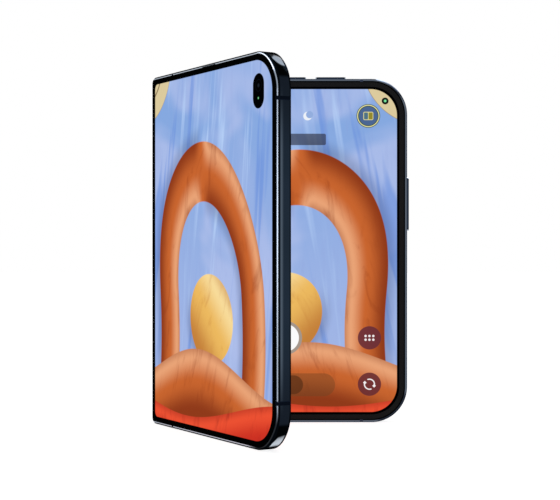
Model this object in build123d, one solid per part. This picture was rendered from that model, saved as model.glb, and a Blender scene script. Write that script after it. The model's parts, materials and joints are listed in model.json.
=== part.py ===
from build123d import *
import math
import os

# A folding phone, half open like a book that stands on its lower edges.
# Each half is drawn flat in its own frame: X runs from the fold to the free edge, Y from the inner
# display to the outer face, and Z up from the lower edge. The spine is drawn flat too, with X = 0
# at the fold. The three are turned to the photographed opening when they are placed.

# ---- the whole phone, in millimetres
HEIGHT = 120.0
HALF_W = 85.4          # fold to free edge
HALF_T = 5.2           # one half's thickness
FOLD_DEG = 60.4        # how far each half has turned from flat
FREE_R = 12.5          # outer corners at the free edge
NEAR_R = 2.2           # outer corners beside the fold
EDGE_CUT = 0.5         # chamfer of the outer edges
EDGE_GAP = 0.1         # from a half's end to the fold plane when flat

# ---- fits
FIT = 0.05             # round a seated piece
RUN = 0.04             # round a turning or sliding piece
ROLL_GAP = 0.1         # from the rolling rail ends to the fold plane

# ---- the two fold axes
AXIS_U = 2.5           # from the fold plane
AXIS_Y = 2.3           # behind the inner face

# ---- frame section
RIM = 1.0              # front lip, beside the inner trim
RAIL = 2.2             # full width of the rails
BACK_RIM = 0.85        # back lip, beside the rear cover
BACK_T = 0.45          # rear cover and cover glass
LIP_T = 0.3            # metal under the back pane, beside the spine
WALL_U = 9.5           # wall between the hinge bay and the inside
WALL_T = 1.0

# ---- inner display and its trim
TRIM_Y = 0.1           # trim face behind the frame's edge
TRIM_GAP = 0.15
TRIM_W = 1.65
PANEL_Y = 0.35         # display face behind the frame's edge
PANEL_T = 0.4
PANEL_INSET = 1.25
STRIP_U = 9.0          # where the rigid part of the display starts
STRIP_CLEAR = 0.2      # from the fold strip's ends to the rails
STRIP_RUN = 0.8        # straight end of the fold strip beside each half
MIDPLATE_T = 0.4
WINDOW_W = 3.0         # openings in the midplate, beside the hinge bay
WINDOW_LEN = 12.0

# ---- cover display
COVER_PANEL_T = 0.2    # bonded to the back of the cover glass

# ---- spine and hinge
SPINE_R = 1.6          # rounded sides of the spine, about the fold axes
SPINE_WALL = 0.3
SPINE_END = 0.1        # from the spine's ends to the rails
LIP_DROP = 0.65        # from the axes down to the channel's lips
END_PLUG = 1.0
PLATE_HALF = 3.5       # half width of the plate under the fold
PLATE_T = 0.25
PLATE_NOTCH = 1.9      # half width of that plate beside the arms
HOUSING_TOP = 1.1      # face that carries the plate under the fold
HOUSING_T = 2.0
MODULE_Z = 22.0        # hinge modules, from the lower and upper edges
MODULE_HALF = 9.0
GEAR_W = 3.0
ARM_W = 7.6
SLICE_GAP = 0.1        # between neighbours along a shaft
SHAFT_R = 0.38
NECK_T = 0.8
ARM_DROP = 1.95        # from the axis to the arm's downward leg
ARM_LEG = 0.8
ARM_END = 8.9
FOOT_T = 0.8
SPRING_POST = 0.8      # half width of the friction spring's post
SPRING_REACH = 0.6     # its fingers, past the shafts

# ---- gear train between the two fold axes, whose outer gears are cut on the arms
TEETH = 10
TIP_R = 0.95
ROOT_R = 0.66
TIP_HALF_DEG = 3.2
ROOT_HALF_DEG = 7.0
IDLER_PIN_R = 0.28

# ---- tilting plates under the fold strip
WING_U0 = 4.7
WING_U1 = 8.85
WING_T = 0.25
WING_TURNS = 0.3       # turn of a plate for each turn of its half
WING_PIN_Y = 1.55
WING_PIN_R = 0.25
WING_LUG_R = 0.45
WING_LUG_W = 3.0
WING_EAR_W = 1.2
WING_EAR_T = 1.0
WING_PIN_Z = 9.0       # lugs, from the rails
WING_CLEAR = 0.4       # between the plates and the rails
WING_NOTCH = 1.25      # depth of the notches over the arms

# ---- buttons
KEY_W = 1.9            # across the edge
KEY_FLANGE = 0.45
KEY_FLANGE_T = 0.5
KEY_TRAVEL = 0.25
KEY_WALL = 1.0         # frame wall outside the flange
POWER_DOWN = 34.3      # from the upper edge
POWER_LEN = 18.7
POWER_PROUD = 0.7
VOLUME_DOWN_IN = 35.3  # from the free edge
VOLUME_UP_IN = 21.4
VOLUME_LEN = 10.6
VOLUME_PROUD = 0.75
SWITCH_T = 0.4
SWITCH_LEN = 4.0

# ---- cameras
HOLE_IN = 7.7          # round hole in the inner display, from the free and the upper edge
HOLE_R = 1.17
FRONT_CAM_W = 4.0
FRONT_CAM_T = 2.4
PILL_IN = 7.4          # pill in the cover display, from the free edge
PILL_DOWN = 6.75        # and from the upper edge
PILL_W = 6.7
PILL_LEN = 10.6
COVER_CAM_T = 2.2
PLATEAU_IN = 4.4       # camera bar, from the free edge
PLATEAU_DOWN = 7.3     # and from the upper edge
PLATEAU_LEN = 37.0
PLATEAU_H = 16.4
PLATEAU_T = 1.5
RING_IN = (12.6, 28.0) # the rear lenses, from the free edge
RING_R = 6.2
RING_WALL = 0.9
RING_T = 0.8
LENS_SINK = 0.25
FLASH_IN = 36.8
FLASH_R = 1.8
FLASH_T = 0.15
REAR_CAM_H = 11.4
REAR_CAM_W = 13.0

# ---- lower edge
PORT_W = 8.94
PORT_T = 2.9
PORT_WALL = 0.3
PORT_DEPTH = 7.0
TONGUE_W = 6.7
TONGUE_T = 0.7
SOUND_W = 1.2          # the two sound slots
SOUND_LEN = 11.0
SOUND_START = 8.0      # from the port's middle

# ---- antenna breaks
BAND_W = 1.0
BAND_SINK = 0.04       # below the metal
BAND_DEPTH = 1.0       # how deep a break runs into the rail
COVER_BAND_Z = 15.0    # on the free side, from each end
COVER_BAND_U = 16.3    # on the top and bottom rails
MAIN_BAND_IN = 16.0    # on those rails, from the free edge

# ---- inside
BATTERY_TOP = 26.0     # from the upper edge
BOARD_W = 19.0
BOARD_T = 0.6
SHIELD_T = 1.3
SPEAKER_W = 15.0
SPEAKER_H = 6.0
COIL_W = 36.0
COIL_CUT = 6.0
COIL_T = 0.35
MAGNET_W = 2.2
MAGNET_LEN = 18.0
MAGNET_Z = 34.0        # from the middle of the height
EARPIECE_LEN = 9.0
EARPIECE_H = 5.0
EARPIECE_SLOT = 0.5

# ---- worked out from those
BACK_Y = HALF_T - BACK_T             # inner face of the back pane
LIP_Y = BACK_Y - LIP_T               # inner face of the lip over the spine
BAY_TOP = HEIGHT - RAIL
PANEL_BACK = PANEL_Y + PANEL_T
MIDPLATE_BACK = PANEL_BACK + MIDPLATE_T
INSIDE_Y = MIDPLATE_BACK + FIT       # first free depth behind the midplate
INSIDE_U = WALL_U + WALL_T           # first free place past the bay's wall
RELIEF_R = AXIS_U - ROLL_GAP
IDLER_U = AXIS_U / 3
MODULES = (MODULE_Z, HEIGHT - MODULE_Z)
MIDDLE_U = HALF_W / 2
MIDDLE_Z = HEIGHT / 2
POWER_Z1 = HEIGHT - POWER_DOWN
POWER_Z0 = POWER_Z1 - POWER_LEN
VOLUME_U = (HALF_W - VOLUME_DOWN_IN - VOLUME_LEN, HALF_W - VOLUME_UP_IN - VOLUME_LEN)
HOLE_U = HALF_W - HOLE_IN
HOLE_Z = HEIGHT - HOLE_IN
PILL_U1 = HALF_W - PILL_IN
PILL_U0 = PILL_U1 - PILL_W
PILL_Z1 = HEIGHT - PILL_DOWN
PILL_Z0 = PILL_Z1 - PILL_LEN
PLATEAU_FACE = HALF_T + PLATEAU_T
PLATEAU_U1 = HALF_W - PLATEAU_IN
PLATEAU_U0 = PLATEAU_U1 - PLATEAU_LEN
PLATEAU_Z = HEIGHT - PLATEAU_DOWN - PLATEAU_H / 2
RING_U = [HALF_W - inset for inset in RING_IN]


# ---------------------------------------------------------------- helpers
def bar(u0, u1, y0, y1, z0, z1):
    """A block between two corners."""
    return Pos((u0 + u1) / 2, (y0 + y1) / 2, (z0 + z1) / 2) * Box(u1 - u0, y1 - y0, z1 - z0)


def rod(u, y, z0, z1, radius):
    """An upright round bar."""
    return Pos(u, y, (z0 + z1) / 2) * Cylinder(radius, z1 - z0)


def disc(u, z, y0, y1, radius):
    """A round bar square to the faces."""
    return Pos(u, (y0 + y1) / 2, z) * Rot(90, 0, 0) * Cylinder(radius, y1 - y0)


def slab(face, y0, y1):
    """A face drawn across the half, given depth from y0 to y1."""
    return extrude(Plane.XZ.offset(-y0) * face, -(y1 - y0))


def rounded(u0, u1, z0, z1, r_near, r_free):
    """A rectangle with one radius at the fold's corners and another at the free ones."""
    face = Pos((u0 + u1) / 2, (z0 + z1) / 2) * Rectangle(u1 - u0, z1 - z0)
    if r_free > 0:
        face = fillet(face.vertices().group_by(Axis.X)[-1], r_free)
    if r_near > 0:
        face = fillet(face.vertices().group_by(Axis.X)[0], r_near)
    return face


def across(inset, u0, r_near=0.0):
    """The half's outline, drawn in by inset, that starts at u0."""
    return rounded(u0, HALF_W - inset, inset, HEIGHT - inset, r_near, FREE_R - inset)


def pill(u0, u1, z0, z1):
    """A face with two round ends."""
    wide, high = u1 - u0, z1 - z0
    slot = SlotOverall(wide, high) if wide > high else SlotOverall(high, wide, rotation=90)
    return Pos((u0 + u1) / 2, (z0 + z1) / 2) * slot


def group(pieces):
    """Separate solids kept in one node."""
    solids = []
    for piece in pieces:
        solids.extend(piece.solids())
    return Compound(children=solids)


# ---------------------------------------------------------------- placing
def place_main(shape):
    """From the main half's own frame to the phone's, whose origin is under the half's middle."""
    return Pos(-HALF_W / 2, -HALF_T / 2, 0) * shape


def place_spine(shape):
    """Turns the flat spine about the main half's axis."""
    turn = Pos(AXIS_U, AXIS_Y, 0) * Rot(0, 0, FOLD_DEG) * Pos(-AXIS_U, -AXIS_Y, 0)
    return place_main(turn * shape)


def place_cover(shape):
    """Mirrors a half to the other side of the fold, and turns it about its own axis."""
    turn = Pos(-AXIS_U, AXIS_Y, 0) * Rot(0, 0, FOLD_DEG) * Pos(AXIS_U, -AXIS_Y, 0)
    return place_spine(turn * mirror(shape, Plane.YZ))


# ---------------------------------------------------------------- frames
def frame_shell():
    """The rails, the lip over the spine and the wall of the hinge bay, in one ring."""
    body = slab(across(0, EDGE_GAP, NEAR_R), 0, HALF_T)
    faces = body.faces().sort_by(Axis.Y)
    body = chamfer(faces[0].edges() + faces[-1].edges(), EDGE_CUT)
    corner = bar(-1, AXIS_U, -1, AXIS_Y, -1, HEIGHT + 1)
    body -= corner - rod(AXIS_U, AXIS_Y, -2, HEIGHT + 2, RELIEF_R)
    body -= slab(across(RIM, -1), -1, MIDPLATE_BACK)
    body -= bar(-1, WALL_U, -1, LIP_Y, RAIL, BAY_TOP)
    body -= slab(across(RAIL, INSIDE_U), 0, HALF_T)
    body -= slab(across(BACK_RIM, EDGE_GAP + BACK_RIM, NEAR_R - BACK_RIM), BACK_Y, HALF_T + 1)
    return body + wing_ears()


def wing_lugs():
    """The height of each lug of the tilting plate, and on which side of it its pin stands."""
    low = RAIL + WING_PIN_Z
    return ((low, 1), (HEIGHT - low, -1))


def ear_span(z, side):
    """From the lug's end to the far end of the ear beside it."""
    near = z + side * (WING_LUG_W / 2 + SLICE_GAP)
    return sorted((near, near + side * WING_EAR_W))


def wing_ears():
    """Ears on the bay's wall, with a saddle for each pin of the tilting plate."""
    ears = []
    for z, side in wing_lugs():
        low, high = ear_span(z, side)
        ear = bar(WING_U1 - WING_LUG_R, INSIDE_U, WING_PIN_Y, WING_PIN_Y + WING_EAR_T, low, high)
        ears.append(ear - rod(WING_U1, WING_PIN_Y, low - 1, high + 1, WING_PIN_R + RUN))
    return ears


def split_bands(body, cuts):
    """Cuts the antenna breaks into a frame's outside, and returns the frame and the breaks."""
    core = slab(across(BAND_DEPTH, -1), -1, HALF_T + 1)
    inner = slab(across(BAND_SINK, EDGE_GAP, NEAR_R), BAND_SINK, HALF_T - BAND_SINK)
    bands = []
    for cut in cuts:
        groove = cut - core
        bands.append(body & groove & inner)
        body -= groove
    return body, group(bands)


def side_break(z):
    return bar(HALF_W - RAIL, HALF_W + 1, -1, HALF_T + 1, z - BAND_W / 2, z + BAND_W / 2)


def rail_breaks(u):
    low = bar(u - BAND_W / 2, u + BAND_W / 2, -1, HALF_T + 1, -1, RAIL)
    return [low, Pos(0, 0, HEIGHT + 1 - RAIL) * low]


def main_frame():
    body = frame_shell() - key_passage(POWER_Z0, POWER_Z1)
    for u0 in VOLUME_U:
        body -= to_top_edge(key_passage(0, VOLUME_LEN), u0)
    body -= port_block(PORT_W, PORT_T, -1, RAIL + 1)
    body -= sound_slots()
    return split_bands(body, rail_breaks(HALF_W - MAIN_BAND_IN))


def cover_frame():
    half = EARPIECE_SLOT / 2
    slot_z = HEIGHT - BACK_RIM
    body = frame_shell() - bar(MIDDLE_U - EARPIECE_LEN / 2, MIDDLE_U + EARPIECE_LEN / 2,
                               BACK_Y - BACK_T, HALF_T + 1, slot_z - half, slot_z + half)
    cuts = rail_breaks(COVER_BAND_U) + [side_break(COVER_BAND_Z), side_break(HEIGHT - COVER_BAND_Z)]
    return split_bands(body, cuts)


def back_pane(y0, y1):
    """A flat pane in the back rim of a half."""
    return slab(across(BACK_RIM + FIT, EDGE_GAP + BACK_RIM + FIT, NEAR_R - BACK_RIM - FIT), y0, y1)


# ---------------------------------------------------------------- keys
def key_bar(z0, z1, thick, u0, u1):
    """A bar with round ends that points along X, in the middle of the edge."""
    plane = Plane(origin=(u0, HALF_T / 2, (z0 + z1) / 2), x_dir=(0, 0, 1), z_dir=(1, 0, 0))
    return extrude(plane * SlotOverall(z1 - z0, thick), u1 - u0)


def key_passage(z0, z1):
    """The way of a key through the free rail, with room for its flange."""
    half = (KEY_W + KEY_FLANGE) / 2 + RUN
    neck = key_bar(z0 - RUN, z1 + RUN, KEY_W + 2 * RUN, HALF_W - RAIL - 1, HALF_W + 1)
    return neck + bar(HALF_W - RAIL - 1, HALF_W - KEY_WALL, HALF_T / 2 - half, HALF_T / 2 + half,
                      z0 - KEY_FLANGE - RUN, z1 + KEY_FLANGE + RUN)


def key(z0, z1, proud):
    """A key for the free edge: a cap with round ends, and a flange that keeps it in the rail."""
    seat = HALF_W - KEY_WALL - RUN
    half = (KEY_W + KEY_FLANGE) / 2
    cap = key_bar(z0, z1, KEY_W, seat - KEY_FLANGE_T, HALF_W + proud)
    return cap + bar(seat - KEY_FLANGE_T, seat, HALF_T / 2 - half, HALF_T / 2 + half,
                     z0 - KEY_FLANGE, z1 + KEY_FLANGE)


def key_switch(z0, z1):
    """The small switch that a key pushes at the end of its travel."""
    face = HALF_W - KEY_WALL - RUN - KEY_FLANGE_T - KEY_TRAVEL - RUN
    mid = (z0 + z1) / 2
    return bar(face - SWITCH_T, face, (HALF_T - KEY_W) / 2, (HALF_T + KEY_W) / 2,
               mid - SWITCH_LEN / 2, mid + SWITCH_LEN / 2)


def to_top_edge(shape, u0):
    """Turns a key's piece from the free edge, where it starts at height 0, to the top edge at u0."""
    return Pos(u0 + VOLUME_LEN, 0, HEIGHT - HALF_W) * Rot(0, -90, 0) * shape


def switches():
    pieces = [key_switch(POWER_Z0, POWER_Z1)]
    for u0 in VOLUME_U:
        pieces.append(to_top_edge(key_switch(0, VOLUME_LEN), u0))
    return group(pieces)


# ---------------------------------------------------------------- lower edge
def sound_slots():
    """A slot in the lower rail on each side of the port, one for sound out and one for sound in."""
    mid = SOUND_START + SOUND_LEN / 2
    slot = extrude(SlotOverall(SOUND_LEN, SOUND_W), RAIL + 2)
    return [Pos(MIDDLE_U + side * mid, HALF_T / 2, -1) * slot for side in (-1, 1)]


def port_block(wide, thick, z0, z1):
    return Pos(MIDDLE_U, HALF_T / 2, z0) * extrude(SlotOverall(wide, thick), z1 - z0)


def charging_port():
    """A drawn shell, closed at its inner end, with the contact tongue on that end."""
    shell = port_block(PORT_W, PORT_T, BAND_SINK, PORT_DEPTH)
    shell -= port_block(PORT_W - 2 * PORT_WALL, PORT_T - 2 * PORT_WALL, -1, PORT_DEPTH - PORT_WALL)
    tongue = bar(MIDDLE_U - TONGUE_W / 2, MIDDLE_U + TONGUE_W / 2, (HALF_T - TONGUE_T) / 2,
                 (HALF_T + TONGUE_T) / 2, WALL_T, PORT_DEPTH)
    return shell + tongue


def loudspeaker():
    """A box behind one sound slot, open towards it."""
    low = RAIL + FIT
    u0 = MIDDLE_U + SOUND_START + (SOUND_LEN - SPEAKER_W) / 2
    box = bar(u0, u0 + SPEAKER_W, INSIDE_Y, BACK_Y - FIT, low, low + SPEAKER_H)
    mouth = bar(u0 + WALL_T, u0 + SPEAKER_W - WALL_T, (HALF_T - SOUND_W) / 2, (HALF_T + SOUND_W) / 2,
                low - 1, low + WALL_T)
    return box - mouth


def haptic_motor():
    u1 = MIDDLE_U - SOUND_START + (SPEAKER_W - SOUND_LEN) / 2
    return bar(u1 - SPEAKER_W, u1, INSIDE_Y, BACK_Y - FIT, RAIL + FIT, RAIL + FIT + SPEAKER_H)


# ---------------------------------------------------------------- inner display
def trim_ring(u0):
    """The raised trim round the display, open towards the fold."""
    outer = RIM + TRIM_GAP
    ring = slab(across(outer, u0), TRIM_Y, PANEL_Y) - slab(across(outer + TRIM_W, -1), 0, PANEL_BACK)
    return ring - bar(-1, STRIP_U, -1, PANEL_BACK, RAIL, BAY_TOP)


def inner_panel():
    return slab(across(PANEL_INSET, STRIP_U), PANEL_Y, PANEL_BACK)


def midplate():
    plate = slab(across(RIM + FIT, WALL_U), PANEL_BACK, MIDPLATE_BACK)
    u0 = INSIDE_U + WALL_T
    for z in (MIDDLE_Z - HEIGHT / 5, MIDDLE_Z + HEIGHT / 5):
        plate -= bar(u0, u0 + WINDOW_W, 0, HALF_T, z - WINDOW_LEN / 2, z + WINDOW_LEN / 2)
    return plate


def main_midplate():
    """The main half's midplate, cut for the front camera and for the port."""
    half = PORT_W / 2 + FIT
    port = bar(MIDDLE_U - half, MIDDLE_U + half, 0, HALF_T, 0, PORT_DEPTH + FIT)
    side = HOLE_R + FIT
    hole = bar(HOLE_U - side, HOLE_U + side, 0, HALF_T, HOLE_Z - side, HOLE_Z + side)
    return midplate() - hole - port


def arc_band(center, inner, outer, start, sweep):
    """A face between two arcs about one centre."""
    low = CenterArc(center, inner, start, sweep)
    high = CenterArc(center, outer, start, sweep)
    return make_face(Curve() + [low, Line(low @ 1, high @ 1), high, Line(low @ 0, high @ 0)])


def fold_strip():
    """The bending part of the display: on each side an arc up from the spine, an arc back, a straight."""
    turn = math.radians(FOLD_DEG)
    sine, cosine = math.sin(turn), math.cos(turn)
    reach, depth = STRIP_U - AXIS_U, AXIS_Y - PANEL_Y
    end_x = AXIS_U + reach * cosine - depth * sine
    rise = PANEL_Y - AXIS_Y + reach * sine + depth * cosine
    back_r = (rise - end_x - STRIP_RUN * (sine - cosine)) / (cosine + sine - 1)
    bend_r = end_x - back_r * (1 - sine) - STRIP_RUN * cosine
    level = PANEL_Y - bend_r
    half = arc_band((0, level), bend_r, bend_r + PANEL_T, 0, 90)
    half += arc_band((bend_r + back_r, level), back_r - PANEL_T, back_r, 180, 90 - FOLD_DEG)
    straight = Pos(end_x, PANEL_Y - rise) * Rot(0, 0, -FOLD_DEG) * Pos(-STRIP_RUN / 2, PANEL_T / 2)
    half += straight * Rectangle(STRIP_RUN, PANEL_T)
    face = half + mirror(half, Plane.YZ)
    low = RAIL + STRIP_CLEAR
    return Pos(0, 0, low) * extrude(face, HEIGHT - 2 * low)


# ---------------------------------------------------------------- spine
def stadium(radius):
    """A face of two circles about the fold axes, and what lies between."""
    return Pos(0, AXIS_Y) * SlotOverall(2 * (AXIS_U + radius), 2 * radius)


def spine_channel():
    """The outer shell of the fold: a channel whose sides are round about the two axes."""
    low = RAIL + SPINE_END
    shell = stadium(SPINE_R) - stadium(SPINE_R - SPINE_WALL)
    shell &= Pos(0, AXIS_Y + LIP_DROP + SPINE_R / 2) * Rectangle(4 * SPINE_R + 2 * AXIS_U, SPINE_R)
    return Pos(0, 0, low) * extrude(shell, HEIGHT - 2 * low)


def channel_fill():
    """The section of what sits in the channel under the plate, with its corners on the round sides."""
    radius = SPINE_R - SPINE_WALL
    points = []
    for side, start in ((1, -90), (-1, 90)):
        for degrees in range(start, start + 181, 45):
            angle = math.radians(degrees)
            points.append((side * AXIS_U + radius * math.cos(angle), AXIS_Y + radius * math.sin(angle)))
    face = make_face(Polyline(*points, close=True))
    return face & Pos(0, HOUSING_TOP + HALF_T / 2) * Rectangle(HALF_W, HALF_T)


def spine_plugs():
    face = channel_fill()
    low = RAIL + SPINE_END
    plug = Pos(0, 0, low) * extrude(face, END_PLUG)
    return group([plug, Pos(0, 0, HEIGHT - 2 * low - END_PLUG) * plug])


def spine_plate():
    """The plate that carries the fold of the display, narrower beside the arms."""
    low = RAIL + SPINE_END
    plate = bar(-PLATE_HALF, PLATE_HALF, HOUSING_TOP - PLATE_T, HOUSING_TOP, low, HEIGHT - low)
    for mid in MODULES:
        z0, z1 = arm_span(mid)
        for side in (-1, 1):
            notch = bar(PLATE_NOTCH, PLATE_HALF + 1, 0, HALF_T, z0 - WING_CLEAR, z1 + WING_CLEAR)
            plate -= notch if side > 0 else mirror(notch, Plane.YZ)
    return plate


def gear_span(mid):
    z0 = mid - MODULE_HALF + HOUSING_T + SLICE_GAP
    return z0, z0 + GEAR_W


def arm_span(mid):
    z0 = gear_span(mid)[1] + SLICE_GAP
    return z0, z0 + ARM_W


def spring_span(mid):
    return arm_span(mid)[1] + SLICE_GAP, mid + MODULE_HALF - HOUSING_T - SLICE_GAP


def hinge_housing(mid):
    """Two bearing blocks on one floor, with saddles for both shafts and the pins of the idlers."""
    low, high = mid - MODULE_HALF, mid + MODULE_HALF
    body = Pos(0, 0, low) * extrude(channel_fill(), high - low)
    body -= bar(-HALF_W, HALF_W, 0, AXIS_Y + TIP_R + FIT, low + HOUSING_T, high - HOUSING_T)
    bore = SHAFT_R + RUN
    for side in (-1, 1):
        u = side * AXIS_U
        body -= rod(u, AXIS_Y, low - 1, high + 1, bore) + bar(u - bore, u + bore, 0, AXIS_Y, low - 1, high + 1)
        body += rod(side * IDLER_U, AXIS_Y, low + HOUSING_T / 2, gear_span(mid)[1], IDLER_PIN_R)
    return body


def friction_spring(mid):
    """A post on the housing's floor, with a finger over each shaft."""
    z0, z1 = spring_span(mid)
    reach = AXIS_U + SPRING_REACH
    top = AXIS_Y - SHAFT_R - RUN / 2
    return bar(-reach, reach, HOUSING_TOP, top, z0, z1) + bar(-SPRING_POST, SPRING_POST, HOUSING_TOP,
                                                               AXIS_Y + TIP_R + FIT, z0, z1)


def gear_face(phase):
    """The outline of a small spur gear with straight-sided teeth."""
    points = []
    for i in range(TEETH):
        middle = phase + 360.0 * i / TEETH
        for radius, off in ((ROOT_R, -ROOT_HALF_DEG), (TIP_R, -TIP_HALF_DEG),
                            (TIP_R, TIP_HALF_DEG), (ROOT_R, ROOT_HALF_DEG)):
            angle = math.radians(middle + off)
            points.append((radius * math.cos(angle), radius * math.sin(angle)))
    return make_face(Polyline(*points, close=True))


def idlers(side, phase):
    """The idler gears on one side, in both modules."""
    face = Pos(side * IDLER_U, AXIS_Y) * (gear_face(phase) - Circle(IDLER_PIN_R + RUN))
    return group([Pos(0, 0, gear_span(mid)[0]) * extrude(face, GEAR_W) for mid in MODULES])


# ---------------------------------------------------------------- hinge pieces of a half
def hinge_arm(mid, phase):
    """A toothed knuckle on the axis, a neck over the channel's lip, and a foot on the frame's lip."""
    z0, z1 = arm_span(mid)
    leg = AXIS_U + ARM_DROP
    high, foot = AXIS_Y - NECK_T / 2, LIP_Y - FOOT_T
    profile = Polyline((AXIS_U, high), (leg + ARM_LEG, high), (leg + ARM_LEG, foot), (ARM_END, foot),
                       (ARM_END, LIP_Y), (leg, LIP_Y), (leg, high + NECK_T), (AXIS_U, high + NECK_T),
                       close=True)
    arm = Pos(0, 0, z0) * extrude(make_face(profile), z1 - z0)
    low = gear_span(mid)[0]
    arm += Pos(AXIS_U, AXIS_Y, low) * extrude(gear_face(phase), z1 - low)
    return arm - rod(AXIS_U, AXIS_Y, low - 1, z1 + 1, SHAFT_R)


def hinge_arms(phase):
    return group([hinge_arm(mid, phase) for mid in MODULES])


def hinge_shafts():
    return group([rod(AXIS_U, AXIS_Y, mid - MODULE_HALF, mid + MODULE_HALF, SHAFT_R) for mid in MODULES])


def wing_plate():
    """The plate under the fold strip, on two lugs with pins, cut back over the hinge arms."""
    face = PANEL_BACK + FIT
    plate = bar(WING_U0, WING_U1, face, face + WING_T, RAIL + WING_CLEAR, BAY_TOP - WING_CLEAR)
    for mid in MODULES:
        z0, z1 = arm_span(mid)
        plate -= bar(WING_U0 - 1, WING_U0 + WING_NOTCH, 0, HALF_T, z0 - WING_CLEAR, z1 + WING_CLEAR)
    for z, side in wing_lugs():
        plate += bar(WING_U1 - WING_LUG_R, WING_U1, face, WING_PIN_Y + WING_LUG_R,
                     z - WING_LUG_W / 2, z + WING_LUG_W / 2)
        low, high = ear_span(z, side)
        plate += rod(WING_U1, WING_PIN_Y, min(z, low), max(z, high), WING_PIN_R)
    tilt = Pos(WING_U1, WING_PIN_Y, 0) * Rot(0, 0, -FOLD_DEG * WING_TURNS) * Pos(-WING_U1, -WING_PIN_Y, 0)
    return tilt * plate


# ---------------------------------------------------------------- cameras
def front_camera():
    """The camera behind the round hole, whose window fills the hole."""
    half = FRONT_CAM_W / 2
    body = bar(HOLE_U - half, HOLE_U + half, MIDPLATE_BACK, MIDPLATE_BACK + FRONT_CAM_T, HOLE_Z - half, HOLE_Z + half)
    return body + disc(HOLE_U, HOLE_Z, PANEL_Y + FIT, MIDPLATE_BACK, HOLE_R)


def camera_plateau():
    """The raised bar on the back, with a sloped edge."""
    z0, z1 = PLATEAU_Z - PLATEAU_H / 2, PLATEAU_Z + PLATEAU_H / 2
    body = slab(pill(PLATEAU_U0, PLATEAU_U1, z0, z1), HALF_T, PLATEAU_FACE)
    return chamfer(body.faces().sort_by(Axis.Y)[-1].edges(), PLATEAU_T / 2)


def lens_rings():
    """A ring round each rear lens."""
    rings = []
    for u in RING_U:
        ring = disc(u, PLATEAU_Z, PLATEAU_FACE, PLATEAU_FACE + RING_T, RING_R)
        rings.append(ring - disc(u, PLATEAU_Z, PLATEAU_FACE - 1, PLATEAU_FACE + RING_T + 1, RING_R - RING_WALL))
    return group(rings)


def lens_windows():
    face = PLATEAU_FACE + RING_T - LENS_SINK
    return group([disc(u, PLATEAU_Z, PLATEAU_FACE, face, RING_R - RING_WALL) for u in RING_U])


def flash_window():
    return disc(HALF_W - FLASH_IN, PLATEAU_Z, PLATEAU_FACE, PLATEAU_FACE + FLASH_T, FLASH_R)


def rear_camera():
    """One carrier with a block behind each rear lens."""
    half_w, half_h = REAR_CAM_W / 2, REAR_CAM_H / 2
    low, high = PLATEAU_Z - half_h, PLATEAU_Z + half_h
    body = bar(min(RING_U), max(RING_U), INSIDE_Y, INSIDE_Y + BOARD_T, low, high)
    for u in RING_U:
        body += bar(u - half_w, u + half_w, INSIDE_Y, BACK_Y - FIT, low, high)
    return body


def cover_camera():
    """The camera module that fills the pill in the cover display."""
    face = pill(PILL_U0 + FIT, PILL_U1 - FIT, PILL_Z0 + FIT, PILL_Z1 - FIT)
    top = BACK_Y + COVER_PANEL_T
    return slab(face, top - COVER_CAM_T, top)


# ---------------------------------------------------------------- inside
def battery(back):
    """A flat pack that leaves room for the boards above and beside it."""
    return bar(INSIDE_U + FIT + WALL_T, HALF_W - RAIL - BOARD_W - WALL_T, INSIDE_Y, back,
               RAIL + SPEAKER_H + WALL_T, HEIGHT - BATTERY_TOP)


def board(top_u1):
    """A board down the free side, with a leg along the top."""
    u1 = HALF_W - RAIL - MAGNET_W - 2 * FIT
    leg_z = HEIGHT - BATTERY_TOP + WALL_T
    side = bar(u1 - BOARD_W + MAGNET_W, u1, INSIDE_Y, INSIDE_Y + BOARD_T, RAIL + SPEAKER_H + WALL_T, leg_z + 1)
    top = bar(INSIDE_U + WALL_T, top_u1, INSIDE_Y, INSIDE_Y + BOARD_T, leg_z, BAY_TOP - WALL_T)
    return side, top


def main_board():
    side, top = board(min(RING_U) - REAR_CAM_W / 2 - WALL_T)
    bridge_z = HEIGHT - BATTERY_TOP + WALL_T
    bridge = bar(INSIDE_U + WALL_T, HALF_W - RAIL - BOARD_W, INSIDE_Y, INSIDE_Y + BOARD_T, bridge_z,
                 PLATEAU_Z - REAR_CAM_H / 2 - WALL_T)
    return side + top + bridge


def main_shields():
    """Lids over the two groups of chips on the side board."""
    u1 = HALF_W - RAIL - MAGNET_W - 2 * FIT
    y0 = INSIDE_Y + BOARD_T
    low, high = RAIL + SPEAKER_H + 2 * WALL_T, HEIGHT - BATTERY_TOP
    pieces = []
    for z0, z1 in ((low, MIDDLE_Z - WALL_T), (MIDDLE_Z + WALL_T, high)):
        pieces.append(bar(u1 - BOARD_W + MAGNET_W + WALL_T, u1 - WALL_T, y0, y0 + SHIELD_T, z0, z1))
    return group(pieces)


def cover_board():
    side, top = board(PILL_U0 - WALL_T)
    return side + top


def charging_coil():
    """The flat charging pad on the battery's back, with its corners cut."""
    u, z = (INSIDE_U + HALF_W - RAIL - BOARD_W) / 2, MIDDLE_Z - WALL_T * 4
    half = COIL_W / 2
    face = rounded(u - half, u + half, z - half, z + half, 0, 0)
    return slab(chamfer(face.vertices(), COIL_CUT), BACK_Y - FIT - COIL_T, BACK_Y - FIT)


def magnets():
    """Bar magnets beside the free rail, which hold the halves shut."""
    u1 = HALF_W - RAIL - FIT
    pieces = []
    for side in (-1, 1):
        mid = MIDDLE_Z + side * MAGNET_Z
        pieces.append(bar(u1 - MAGNET_W, u1, INSIDE_Y, BACK_Y - WALL_T, mid - MAGNET_LEN / 2,
                          mid + MAGNET_LEN / 2))
    return group(pieces)


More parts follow.
